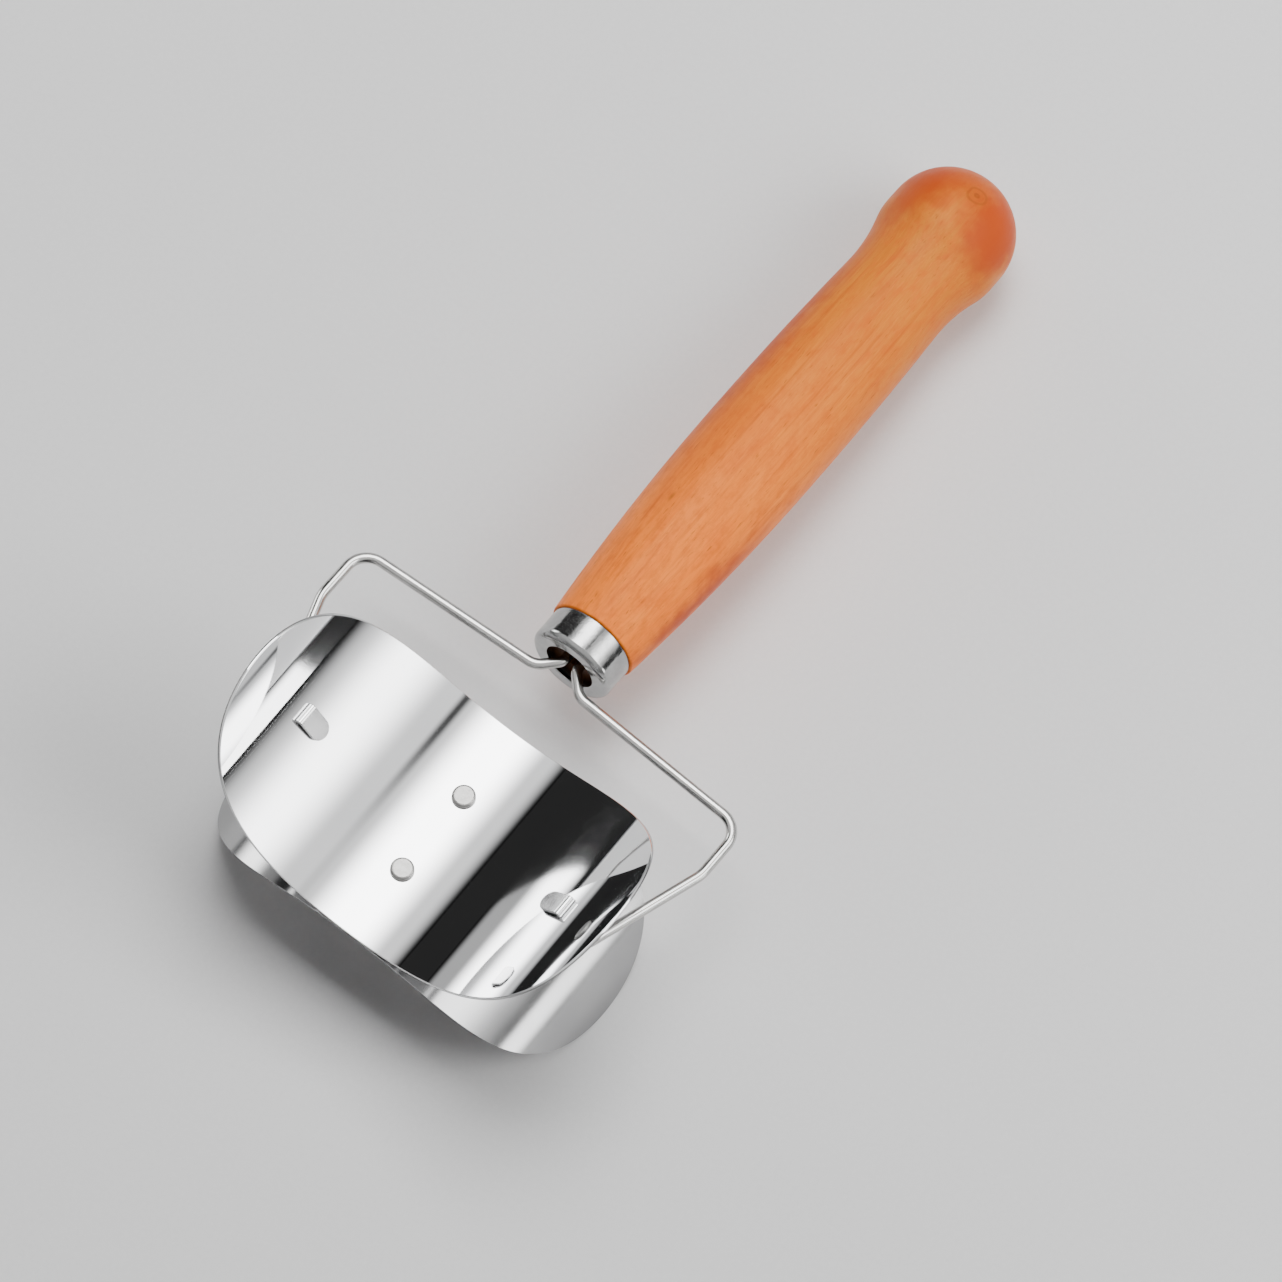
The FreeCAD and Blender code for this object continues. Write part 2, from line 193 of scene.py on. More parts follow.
def offset_loop(loop, distance):
    """A closed loop moved to its left by a distance."""
    points = np.array(loop)
    ahead = np.roll(points, -1, axis=0) - np.roll(points, 1, axis=0)
    ahead /= np.linalg.norm(ahead, axis=1)[:, None]
    return [tuple(p) for p in points + distance * np.stack([-ahead[:, 1], ahead[:, 0]], axis=1)]


def inside(point, loop):
    """Whether a point is inside a closed loop."""
    x, y = point
    odd = False
    for (x1, y1), (x2, y2) in zip(loop, loop[1:] + loop[:1]):
        if (y1 > y) != (y2 > y) and x < (x2 - x1) * (y - y1) / (y2 - y1) + x1:
            odd = not odd
    return odd


def blade_loops(depth):
    """The blade's cut edge and its holes at a depth in the sheet, unrolled flat at that depth.

    The cut edge is where the arc meets the cutting cylinder. It runs anticlockwise and the holes
    run clockwise, so the sheet is always on a loop's left.
    """
    radius = BEND_RADIUS - depth
    tip_angle = math.acos((BEND_RADIUS - CUT_RADIUS) / radius)
    outline = []
    for turn in np.linspace(0, 2 * math.pi, 2 * OUTLINE_POINTS, endpoint=False):
        angle = tip_angle * math.sin(turn)
        height = BEND_RADIUS - radius * math.cos(angle)
        half_width = math.sqrt(max(0.0, CUT_RADIUS ** 2 - height ** 2))
        outline.append((radius * angle, math.copysign(half_width, math.cos(turn))))
    loops = [even_loop(outline[::-1], OUTLINE_POINTS)]

    for side in (-1, 1):
        centre = (0, side * RIVET_PITCH / 2)
        loops.append(arc_points(centre, RIVET_SHANK_RADIUS, 360, 0, HOLE_POINTS)[:-1])
    half_width = TONGUE_WIDTH / 2 + SLOT_CLEARANCE
    half_depth = STRUT_THICKNESS / 2 + SLOT_CLEARANCE
    near, far = (radius * math.asin(place / radius)
                 for place in (STRUT_PLACE - half_depth, STRUT_PLACE + half_depth))
    for side in (-1, 1):
        slot = [(side * near, half_width), (side * far, half_width),
                (side * far, -half_width), (side * near, -half_width)]
        loops.append(even_loop(slot[::side], SLOT_POINTS))
    return loops


def bend_sheet(along, across, depth):
    """A point of the unrolled sheet on the bent one; depth 0 is the outer, convex face."""
    radius = BEND_RADIUS - depth
    angle = along / radius
    return (radius * math.sin(angle), across, BEND_RADIUS - radius * math.cos(angle))


def fill_face(depth):
    """One face of the sheet, inset from every edge by the bevel: points, triangles and rims."""
    rims = [offset_loop(loop, EDGE_BEVEL) for loop in blade_loops(depth)]
    guards = [offset_loop(loop, GRID_GUARD) for loop in rims]
    points, edges, indexes = [], [], []
    for rim in rims:
        first, size = len(points), len(rim)
        indexes.append(range(first, first + size))
        points += rim
        edges += [(first + i, first + (i + 1) % size) for i in range(size)]
    reach = max(along for along, _ in rims[0])
    for along in np.arange(-reach, reach, GRID_ALONG):
        for across in np.arange(-CUT_RADIUS, CUT_RADIUS, GRID_ACROSS):
            spot = (float(along), float(across))
            if inside(spot, guards[0]) and not any(inside(spot, hole) for hole in guards[1:]):
                points.append(spot)
    flat = delaunay_2d_cdt([Vector(p) for p in points], edges, [], 0, SAME_POINT)
    new_index = {old: new for new, originals in enumerate(flat[3]) for old in originals}
    flat_points = [tuple(p) for p in flat[0]]
    triangles = []
    for triangle in flat[2]:
        middle = tuple(np.mean([flat_points[i] for i in triangle], axis=0))
        if inside(middle, rims[0]) and not any(inside(middle, hole) for hole in rims[1:]):
            triangles.append(tuple(triangle))
    bent = [bend_sheet(*p, depth) for p in flat_points]
    return bent, triangles, [[new_index[old] for old in rim] for rim in indexes]


def blade_mesh():
    """The bent sheet: two faces joined round every edge and hole by a softly broken edge."""
    vertices, triangles, outer_rims = fill_face(0.0)
    faces = [triangle[::-1] for triangle in triangles]
    inner_points, triangles, inner_rims = fill_face(BLADE_THICKNESS)
    start = len(vertices)
    vertices += inner_points
    faces += [tuple(i + start for i in triangle) for triangle in triangles]
    middles = [(depth, blade_loops(depth)) for depth in (EDGE_BEVEL, BLADE_THICKNESS - EDGE_BEVEL)]
    for number, outer in enumerate(outer_rims):
        rows = [outer]
        for depth, loops in middles:
            rows.append(range(len(vertices), len(vertices) + len(outer)))
            vertices += [bend_sheet(*p, depth) for p in loops[number]]
        rows.append([i + start for i in inner_rims[number]])
        for lower, upper in zip(rows, rows[1:]):
            for i in range(len(outer)):
                j = (i + 1) % len(outer)
                faces.append((lower[i], lower[j], upper[j], upper[i]))
    return vertices, faces


def make_blade(node, turn, shape):
    """A blade set on the roller, turned about the axle."""
    transform = ROLLER_FRAME @ Matrix.Rotation(turn, 4, "X")
    piece = add_object(f"polished_{node}", *shape, transform, "roller", "blade_steel", node)
    shade_as_arc(piece, transform)
    return piece


def shade_as_arc(piece, transform):
    """Give the sheet's two faces the exact normals of the arc, so that they mirror cleanly."""
    mesh = piece.data
    centre = Vector((0, 0, BEND_RADIUS))
    back = transform.inverted()
    turn = transform.to_3x3()
    smooth = [Vector(normal.vector) for normal in mesh.corner_normals]
    for polygon in mesh.polygons:
        is_edge_band = len(polygon.vertices) == 4
        if is_edge_band:
            continue
        for loop in polygon.loop_indices:
            corner = back @ (mesh.vertices[mesh.loops[loop].vertex_index].co / MM)
            spoke = corner - centre
            spoke.y = 0
            normal = turn @ spoke.normalized()
            smooth[loop] = normal if normal.dot(polygon.normal) > 0 else -normal
    mesh.normals_split_custom_set(smooth)


# ---------------------------------------------------------------- rivets
HEAD_RADIUS = 2.38
HEAD_HEIGHT = 1.0
HEAD_SEAT = 0.67
HEAD_CROWN = 0.55
HEAD_DISH_RADIUS, HEAD_DISH_DEPTH, HEAD_DISH_EDGE = 0.9, 0.02, 0.25
HEAD_FOOT_BEVEL = 0.08
SHANK_ROOM = 0.05
CENTRE_RADIUS = 0.02
RIVET_TURNS = 64
RIVET_OUT_OF_ROUND = 0.012


def make_rivet(node, side):
    """A rivet whose heads were pressed flat, with a soft edge and a slight dish on top."""
    top = HEAD_SEAT + HEAD_HEIGHT
    crown = HEAD_RADIUS - HEAD_CROWN
    half = [(CENTRE_RADIUS, top - 1.5 * HEAD_DISH_DEPTH)]
    half += [(HEAD_DISH_RADIUS, top - HEAD_DISH_DEPTH)]
    half += [(crown - HEAD_DISH_EDGE, top)]
    half += arc_points((crown, top - HEAD_CROWN), HEAD_CROWN, 88, 0, 10)
    half += [(HEAD_RADIUS, HEAD_SEAT + HEAD_FOOT_BEVEL)]
    half += [(HEAD_RADIUS - HEAD_FOOT_BEVEL, HEAD_SEAT)]
    half += [(RIVET_SHANK_RADIUS - SHANK_ROOM, HEAD_SEAT)]
    outline = half + [(radius, -height) for radius, height in reversed(half)]
    upright = Matrix.Rotation(math.pi / 2, 4, "X")
    place = ROLLER_FRAME @ Matrix.Translation((0, side * RIVET_PITCH / 2, 0)) @ upright

    def wobble(angle, height):
        return -RIVET_OUT_OF_ROUND * (1 + math.sin(2 * angle + side)) / 2

    return lathe(f"pressed_{node}", outline, RIVET_TURNS, place, "roller", "rivet_steel", node,
                 wobble=wobble)


# ---------------------------------------------------------------- bearing struts
WEB_HALF_WIDTH = 4.45
WEB_HALF_HEIGHT = 11.45
TONGUE_TIP_PLACE = 27.0
TONGUE_CREST = 14.5
TONGUE_BEND = 0.6
TONGUE_TIP_RADIUS = 2.2
TONGUE_GAP = 0.04
TONGUE_TIP_HALF_WIDTH = 0.05
SHEET_EDGE = 0.12
STRUT_STEP = 0.14
AXLE_HOLE_RADIUS = 1.18
DRILL_SIDES, DRILL_LENGTH = 48, 4.0
STRUT_CREASE = 35


def strut_path():
    """The strip's middle line from the web to the upper tongue's tip, as (x, z) points."""
    inner = BEND_RADIUS - BLADE_THICKNESS - STRUT_THICKNESS / 2 - TONGUE_GAP
    tip_height = BEND_RADIUS - math.sqrt(inner ** 2 - TONGUE_TIP_PLACE ** 2)
    corners = [(STRUT_PLACE, 0), (STRUT_PLACE, TONGUE_CREST, TONGUE_BEND),
               (TONGUE_TIP_PLACE, tip_height)]
    path = rounded_outline(corners, 10)
    path = refine(path, STRUT_STEP)
    return [(x, -z) for x, z in reversed(path[1:])] + path


def strut_half_width(height, to_tip):
    """Half the strip's width: the web with its shoulders, then a tongue with a round end."""
    if abs(height) <= WEB_HALF_HEIGHT and to_tip > 2 * TONGUE_TIP_RADIUS:
        return WEB_HALF_WIDTH
    if to_tip < TONGUE_TIP_RADIUS:
        short = TONGUE_TIP_RADIUS - to_tip
        return TONGUE_WIDTH / 2 - TONGUE_TIP_RADIUS + math.sqrt(
            max(0.0, TONGUE_TIP_RADIUS ** 2 - short ** 2))
    return TONGUE_WIDTH / 2


def strut_section():
    """Round the strip: which side of its middle line, how far set in, and how far out."""
    half = STRUT_THICKNESS / 2
    flat = half - SHEET_EDGE
    return [(-1, 0, -flat), (-1, 0, flat), (-1, SHEET_EDGE, half), (1, SHEET_EDGE, half),
            (1, 0, flat), (1, 0, -flat), (1, SHEET_EDGE, -half), (-1, SHEET_EDGE, -half)]


def make_strut(node, side):
    """A strip bent to shape: rings of its rounded cross-section lofted along its middle line."""
    path = [Vector(point) for point in strut_path()]
    lengths = [0.0]
    for start, end in zip(path, path[1:]):
        lengths.append(lengths[-1] + (end - start).length)
    total = lengths[-1]
    section = strut_section()
    vertices = []
    for index, point in enumerate(path):
        to_tip = min(lengths[index], total - lengths[index])
        before, after = path[max(0, index - 1)], path[min(len(path) - 1, index + 1)]
        ahead = (after - before).normalized()
        width = strut_half_width(point.y, to_tip)
        for across, inset, out in section:
            reach = across * max(TONGUE_TIP_HALF_WIDTH, width - inset)
            spot = point + Vector((ahead.y, -ahead.x)) * out
            vertices.append((side * spot.x, reach, spot.y))
    rings, columns = len(path), len(section)
    faces = ring_faces(rings, columns, False)
    faces.append(tuple(range(columns)))
    faces.append(tuple(range((rings - 1) * columns, rings * columns)))
    piece = add_object(f"folded_{node}", vertices, faces, ROLLER_FRAME, "roller",
                       "strut_steel", node)
    drill(piece, ROLLER_FRAME @ Vector((side * STRUT_PLACE, 0, 0)), AXLE_HOLE_RADIUS)
    sharpen(piece, STRUT_CREASE)
    return piece


def drill(piece, centre, radius):
    """Cut a round hole along +X through a piece; lengths in millimetres."""
    cutter_mesh = bpy.data.meshes.new("drill")
    builder = bmesh.new()
    place = Matrix.Translation(centre * MM) @ Matrix.Rotation(math.pi / 2, 4, "Y")
    bmesh.ops.create_cone(builder, cap_ends=True, segments=DRILL_SIDES, radius1=radius * MM,
                          radius2=radius * MM, depth=DRILL_LENGTH * MM, matrix=place)
    builder.to_mesh(cutter_mesh)
    builder.free()
    cutter = bpy.data.objects.new("drill", cutter_mesh)
    bpy.context.scene.collection.objects.link(cutter)
    cut = piece.modifiers.new("drill", "BOOLEAN")
    cut.object = cutter
    cut.operation = "DIFFERENCE"
    cut.solver = "EXACT"
    shaped = piece.evaluated_get(bpy.context.evaluated_depsgraph_get())
    piece.data = bpy.data.meshes.new_from_object(shaped)
    piece.modifiers.remove(cut)
    bpy.data.objects.remove(cutter)


def sharpen(piece, degrees):
    """Keep edges that turn by more than an angle crisp."""
    piece.data.set_sharp_from_angle(angle=math.radians(degrees))


# ---------------------------------------------------------------- yoke wire
WIRE_RADIUS = 1.1
ARM_PLACE = yoke_high.x - WIRE_RADIUS
# The right half of the wire's route, from its end in the strut to the hairpin in the handle:
# place along the axle, place up the handle, and the bend's radius.
YOKE_CORNERS = [(27.0, 0), (38.7, 0, 3.2), (ARM_PLACE, 26.7, 9.0), (ARM_PLACE, 39.7, 5.0),
                (5.5, 41.7, 4.0), (1.6, 45.9, 2.4), (1.6, 92.0, 1.4)]
WIRE_BEND_STEPS = 24
WIRE_SIDES = 32
WIRE_STEP = 0.8
WIRE_END_ROUNDING = 0.35
WIRE_CREASE = 50


def make_yoke():
    """One bright wire, swept along its route, with slightly rounded cut ends."""
    mirrored = [(-corner[0], *corner[1:]) for corner in reversed(YOKE_CORNERS)]
    path = refine(rounded_outline(YOKE_CORNERS + mirrored, WIRE_BEND_STEPS), WIRE_STEP)
    path = [Vector((x, y, 0)) for x, y in path]
    rings = []
    for index, point in enumerate(path):
        ahead = (path[min(index + 1, len(path) - 1)] - path[max(index - 1, 0)]).normalized()
        rings.append((point, ahead, WIRE_RADIUS))
    first, last = rings[0], rings[-1]
    inset = WIRE_END_ROUNDING
    rings[0] = (first[0], first[1], WIRE_RADIUS - inset)
    rings[-1] = (last[0], last[1], WIRE_RADIUS - inset)
    rings.insert(1, (first[0] + first[1] * inset, first[1], WIRE_RADIUS))
    rings.insert(-1, (last[0] - last[1] * inset, last[1], WIRE_RADIUS))
    vertices = []
    for point, ahead, radius in rings:
        sideways = Vector((ahead.y, -ahead.x, 0))
        for step in range(WIRE_SIDES):
            angle = 2 * math.pi * step / WIRE_SIDES
            offset = sideways * math.cos(angle) + Vector((0, 0, math.sin(angle)))
            vertices.append(point + offset * radius)
    faces = ring_faces(len(rings), WIRE_SIDES, False)
    faces.append(tuple(range(WIRE_SIDES)))
    faces.append(tuple(range((len(rings) - 1) * WIRE_SIDES, len(rings) * WIRE_SIDES)))
    piece = add_object("bright_yoke_wire", vertices, faces, HAND_FRAME, "hand_frame",
                       "yoke_steel", "yoke_wire")
    sharpen(piece, WIRE_CREASE)
    return piece


# ---------------------------------------------------------------- ferrule and handle
FERRULE_FRONT = 45.6
FERRULE_LENGTH = 7.5
FERRULE_RADIUS = 9.35
FERRULE_WALL = 0.5
FERRULE_ROUNDING = 1.5
FERRULE_MOUTH = 5.6
FERRULE_BACK_EDGE = 0.15
FERRULE_BROAD_DENTS, FERRULE_FINE_DENTS = 0.0012, 0.0016
FERRULE_TURNS, HANDLE_TURNS = 192, 160
WOOD_START = FERRULE_FRONT + FERRULE_LENGTH
NECK_RADIUS, BELLY_RADIUS, THROAT_RADIUS, BALL_RADIUS = 9.8, 12.65, 11.54, 13.9
HANDLE_LENGTH = 132.7
BORE_RADIUS, BORE_DEPTH = 2.75, 40.0
TENON_ROOM, TENON_SETBACK = 0.02, 1.5
AXIS_RADIUS = 0.05
HANDLE_STEP, HANDLE_BEND_STEPS = 0.8, 16
HANDLE_UNEVENNESS, EVEN_LENGTH = 0.0022, 12.0


def make_ferrule():
    """A drawn cap, slightly out of round: rolled lip, rounded rim, softly rounded back edge."""
    back = WOOD_START
    wall = FERRULE_RADIUS - FERRULE_WALL
    lip = FERRULE_WALL / 2
    rim_centre = (FERRULE_RADIUS - FERRULE_ROUNDING, FERRULE_FRONT + FERRULE_ROUNDING)
    outline = arc_points((FERRULE_MOUTH + lip, FERRULE_FRONT + lip), lip, 90, 270, 10)
    outline += arc_points(rim_centre, FERRULE_ROUNDING, -88, 0, 14)
    edge = FERRULE_BACK_EDGE
    outline += [(FERRULE_RADIUS, y) for y in np.linspace(rim_centre[1] + 0.4, back - 3 * edge, 8)]
    outline += arc_points((FERRULE_RADIUS - edge, back - edge), edge, 0, 90, 4)
    outline += [(wall, back), (wall, rim_centre[1])]
    outline += arc_points(rim_centre, FERRULE_ROUNDING - FERRULE_WALL, 0, -90, 8)[1:]

    def wobble(angle, height):
        share = min(1.0, max(0.0, (height - FERRULE_FRONT) / FERRULE_LENGTH))
        broad = FERRULE_BROAD_DENTS * (1 + math.sin(5 * angle + 1.3))
        fine = FERRULE_FINE_DENTS * share * (1 + math.sin(9 * angle + 0.4))
        return -broad - fine

    return lathe("drawn_ferrule", outline, FERRULE_TURNS, HAND_FRAME, "hand_frame",
                 "ferrule_chrome", "ferrule", closed=True, wobble=wobble)


def handle_outline():
    """Half of the turned handle's section, from the bore's end round the outside."""
    bore_end = WOOD_START + BORE_DEPTH
    tenon = FERRULE_RADIUS - FERRULE_WALL - TENON_ROOM
    tenon_front = FERRULE_FRONT + FERRULE_WALL + TENON_SETBACK
    corners = [
        (BORE_RADIUS, tenon_front, 0.25), (tenon, tenon_front, 0.9), (tenon, WOOD_START),
        (NECK_RADIUS, WOOD_START, 0.5), (BELLY_RADIUS, WOOD_START + 29.0, 550.0),
        (BELLY_RADIUS, WOOD_START + 79.5, 880.0), (THROAT_RADIUS, WOOD_START + 105.95, 38.0),
        (BALL_RADIUS, WOOD_START + 114.0, 13.5),
        (BALL_RADIUS, WOOD_START + HANDLE_LENGTH, 13.6),
        (AXIS_RADIUS, WOOD_START + HANDLE_LENGTH),
    ]
    bore = [(AXIS_RADIUS, bore_end), (BORE_RADIUS, bore_end)]
    outline = rounded_outline(corners + bore, HANDLE_BEND_STEPS)
    outside = refine(outline[:-len(bore)], HANDLE_STEP)
    return bore + outside


def make_handle():
    """The turned handle, with the faint unevenness that sanding by hand leaves."""
    def wobble(angle, height):
        share = min(1.0, max(0.0, (height - WOOD_START) / EVEN_LENGTH))
        wave = math.sin(2 * angle + 0.045 * height) + math.sin(3 * angle - 0.03 * height)
        return -HANDLE_UNEVENNESS * share * (2 + wave) / 2

    return lathe("turned_handle", handle_outline(), HANDLE_TURNS, HAND_FRAME, "hand_frame",
                 "handle_wood", "handle", wobble=wobble)


# ---------------------------------------------------------------- material helpers
class Nodes:
    """A short way to write a material's node tree."""

    def __init__(self, name):
        self.material = bpy.data.materials.new(name)
        self.material.use_nodes = True
        self.tree = self.material.node_tree
        self.shader = self.tree.nodes["Principled BSDF"]

    def add(self, kind, inputs=None, **settings):
        """Add a node, set its properties, and set or link its inputs."""
        node = self.tree.nodes.new(kind)
        for key, value in settings.items():
            setattr(node, key, value)
        for key, value in (inputs or {}).items():
            self.feed(node.inputs[key], value)
        return node

    def feed(self, socket, value):
        """Link a socket to an output, or set its value."""
        if isinstance(value, bpy.types.NodeSocket):
            self.tree.links.new(value, socket)
        else:
            socket.default_value = value

    def set(self, **inputs):
        """Set or link the shader's inputs, with underscores for spaces."""
        for key, value in inputs.items():
            self.feed(self.shader.inputs[key.replace("_", " ")], value)

    def local(self, transform, scale=(1, 1, 1)):
        """Coordinates in millimetres in one of the object's own frames, stretched by a scale."""
        place = self.add("ShaderNodeTexCoord").outputs["Object"]
        back = transform.inverted()
        mapping = self.add("ShaderNodeMapping", {"Vector": place}, vector_type="POINT")
        mapping.inputs["Scale"].default_value = (1 / MM, 1 / MM, 1 / MM)
        mapping.inputs["Rotation"].default_value = back.to_euler()
        mapping.inputs["Location"].default_value = back.translation
        return self.vector("MULTIPLY", mapping.outputs[0], scale)

    def noise(self, vector, scale, detail=2.0, roughness=0.5, distortion=0.0):
        """Plain noise, from about 0 to 1."""
        node = self.add("ShaderNodeTexNoise", {
            "Vector": vector, "Scale": scale, "Detail": detail, "Roughness": roughness,
            "Distortion": distortion})
        return node.outputs["Fac"]

    def ramp(self, value, stops):
        """A ramp of (place, grey or colour) stops."""
        node = self.add("ShaderNodeValToRGB", {"Fac": value})
        elements = node.color_ramp.elements
        while len(elements) < len(stops):
            elements.new(0.5)
        for element, (place, colour) in zip(elements, stops):
            element.position = place
            grey = isinstance(colour, (int, float))
            element.color = (colour, colour, colour, 1) if grey else (*colour, 1)
        return node.outputs["Color"]

    def mix(self, share, first, second):
        """Mix two colours."""
        node = self.add("ShaderNodeMix", data_type="RGBA")
        self.feed(node.inputs[0], share)
        for socket, value in ((node.inputs[6], first), (node.inputs[7], second)):
            colour = (*value, 1) if isinstance(value, tuple) and len(value) == 3 else value
            self.feed(socket, colour)
        return node.outputs[2]

    def math(self, operation, first, second=0.0):
        """A sum, product or other operation on two numbers."""
        node = self.add("ShaderNodeMath", {0: first, 1: second}, operation=operation)
        return node.outputs[0]

    def vector(self, operation, first, second, output="Vector"):
        """A sum, product, distance or other operation on two vectors."""
        node = self.add("ShaderNodeVectorMath", {0: first, 1: second}, operation=operation)
        return node.outputs[output]

    def bump(self, height, strength, distance):
        """A bump whose distance is in millimetres."""
        node = self.add("ShaderNodeBump", {
            "Height": height, "Strength": strength, "Distance": distance * MM})
        self.set(Normal=node.outputs[0])

    def fade(self, value, start, end, first, last):
        """A smooth change from one number to another as a value goes from start to end."""
        node = self.add("ShaderNodeMapRange", {
            "Value": value, "From Min": start, "From Max": end, "To Min": first, "To Max": last},
            interpolation_type="SMOOTHSTEP")
        return node.outputs[0]

    def near(self, vector, centre, radius, softness):
        """1 near a point, falling to 0 over a soft edge; lengths in millimetres."""
        distance = self.vector("DISTANCE", vector, centre, "Value")
        return self.fade(distance, radius - softness, radius + softness, 1.0, 0.0)


class RoomNodes(Nodes):
    """The same short way for a world's node tree."""

    def __init__(self, world):
        self.tree = world.node_tree
        self.shader = self.tree.nodes["Background"]


# ---------------------------------------------------------------- materials
def on_handle(distance, turn, radius):
    """A place on the handle: distance up its axis, and turn from +X over its top, in degrees."""
    turn = math.radians(turn)
    return (radius * math.cos(turn), distance, radius * math.sin(turn))


WOOD_ORANGE, WOOD_SALMON = (0.92, 0.195, 0.008), (0.98, 0.240, 0.020)
WOOD_TAN, WOOD_YELLOW = (0.62, 0.150, 0.008), (0.66, 0.190, 0.010)
WOOD_PALE, WOOD_DEEP = (0.98, 0.300, 0.034), (0.66, 0.115, 0.005)
WOOD_RED, WOOD_PORE = (0.46, 0.052, 0.004), (0.42, 0.070, 0.006)
# The second colour on the next line is nearly black: the wood's end grain is darker, and the rest
# is painted shade of its recess in the ferrule's mouth.
WOOD_KNOT, WOOD_END_GRAIN_AND_SHADE = (0.24, 0.048, 0.008), (0.07, 0.022, 0.006)
VARNISH_TINT = (1.0, 0.74, 0.50, 1)

# Red-brown stains, and two stripes of painted shade along the handle's sides: centre, length,
# size, softness and strength.
HANDLE_END = WOOD_START + HANDLE_LENGTH
WOOD_STAINS_AND_EDGE_SHADE = [
    (on_handle(HANDLE_END - 7, 118, 12.0), 8.0, 7.5, 3.5, 0.70),
    (on_handle(HANDLE_END - 11, 44, 13.6), 10.0, 8.0, 3.5, 0.95),
    (on_handle(HANDLE_END - 14, 132, 13.9), 8.0, 6.5, 3.5, 0.80),
    (on_handle(HANDLE_END - 3, 60, 6.0), 6.0, 5.0, 3.0, 0.55),
    # These two long stripes along the handle's side edges are painted shade, not stains.
    (on_handle(WOOD_START + 19, 6, 11.7), 18.0, 3.4, 3.2, 1.0),
    (on_handle(WOOD_START + 72, 152, 12.7), 28.0, 3.4, 3.3, 0.90),
    (on_handle(WOOD_START + 45, 120, 12.6), 26.0, 3.0, 3.0, 0.25),
]
KNOT_CENTRE = (2.2, HANDLE_END - 9.3, 12.9)
KNOT_RING_RATE, KNOT_RADIUS, KNOT_SOFTNESS = 3.9, 2.3, 1.1
FLECK_CENTRE, FLECK_LENGTH, FLECK_SIZE = on_handle(83.5, 113, 12.3), 1.09, 0.38
# How far stains, the painted edge shade and knot rings wander, in millimetres.
STAIN_AND_SHADE_WANDER, RING_WANDER = 9.0, 1.44
# Where the tone of the wood starts and stops changing, from the wood's front end.
TONE_START, TONE_END = 20.0, 105.0

MIRROR_ROUGHNESS, SATIN_ROUGHNESS, SCRATCH_ROUGHNESS = 0.02, 0.09, 0.10
CLOUD_ROUGHNESS = 0.02


def blade_steel():
    """Sheet with a mirror-polished inner face and a duller, darker outer face, lightly scratched.
    The outer face's dark colour is painted shade that dims the lower blade's ends, where that face
    is on view.
    """
    n = Nodes("mirror_polished_sheet")
    place = n.local(ROLLER_FRAME)
    lines = n.noise(n.local(ROLLER_FRAME, (0.05, 1.0, 1.0)), 3.0, 3.0)
    cloud = n.noise(place, 0.09, 3.0)
    scratch_field = n.noise(n.local(ROLLER_FRAME, (0.03, 2.2, 1.0)), 9.0, 1.0)
    scratches = n.ramp(scratch_field, [(0.70, 0.0), (0.76, 1.0)])
    mirror = n.mix(cloud, (0.70, 0.705, 0.715), (0.80, 0.80, 0.805))
    # The outer face's colour is painted shade: far darker than the inner face's, to dim the lower
    # blade's ends.
    satin = n.mix(cloud, (0.32, 0.32, 0.325), (0.42, 0.42, 0.42))
    outer = on_outer_face(n, place)
    rough = n.math("ADD", n.math("MULTIPLY", cloud, CLOUD_ROUGHNESS), MIRROR_ROUGHNESS)
    rough = n.math("ADD", rough, n.math("MULTIPLY", scratches, SCRATCH_ROUGHNESS))
    rough = n.math("ADD", rough, n.math("MULTIPLY", outer, SATIN_ROUGHNESS))
    n.set(Base_Color=n.mix(outer, mirror, satin), Metallic=1.0, Roughness=rough)
    n.bump(n.math("ADD", lines, n.math("MULTIPLY", cloud, 2.0)), 0.10, 0.003)
    return n.material


def on_outer_face(n, place):
    """1 in the outer, convex half of a blade's thickness and 0 in the inner half."""
    parts = n.add("ShaderNodeSeparateXYZ", {"Vector": place}).outputs
    below = n.math("SUBTRACT", BEND_RADIUS, n.math("ABSOLUTE", parts["Z"]))
    squares = n.math("ADD", n.math("MULTIPLY", below, below),
                     n.math("MULTIPLY", parts["X"], parts["X"]))
    middle = BEND_RADIUS - BLADE_THICKNESS / 2
    return n.math("GREATER_THAN", squares, middle ** 2)


def rivet_steel():
    """Satin rivet steel, cloudy in tone and roughness, with a fine bump."""
    n = Nodes("satin_rivet")
    place = n.local(ROLLER_FRAME)
    cloud = n.noise(place, 1.1, 4.0, 0.6)
    turned = n.noise(place, 6.0, 2.0)
    colour = n.mix(cloud, (0.24, 0.235, 0.23), (0.42, 0.415, 0.40))
    n.set(Base_Color=colour, Metallic=1.0, Roughness=n.ramp(cloud, [(0.3, 0.30), (0.75, 0.46)]))
    n.bump(turned, 0.5, 0.03)
    return n.material


def strut_steel():
    """The strut's polished strip, with a faint cloudy mottle."""
    n = Nodes("folded_strip")
    place = n.local(ROLLER_FRAME)
    cloud = n.noise(place, 0.3, 2.0, 0.5)
    colour = n.mix(cloud, (0.68, 0.68, 0.685), (0.82, 0.82, 0.82))
    n.set(Base_Color=colour, Metallic=1.0, Roughness=n.ramp(cloud, [(0.3, 0.20), (0.75, 0.27)]))
    n.bump(cloud, 0.06, 0.01)
    return n.material


def yoke_steel():
    """Bright drawn wire: a fine bumpy grain and small dull spots."""
    n = Nodes("bright_drawn_wire")
    place = n.local(HAND_FRAME)
    fine = n.noise(place, 2.6, 3.0, 0.6)
    dull = n.noise(place, 0.35, 2.0)
    colour = n.mix(dull, (0.42, 0.415, 0.405), (0.60, 0.59, 0.575))
    n.set(Base_Color=colour, Metallic=1.0, Roughness=n.ramp(dull, [(0.3, 0.16), (0.8, 0.27)]))
    n.bump(fine, 0.25, 0.02)
    return n.material


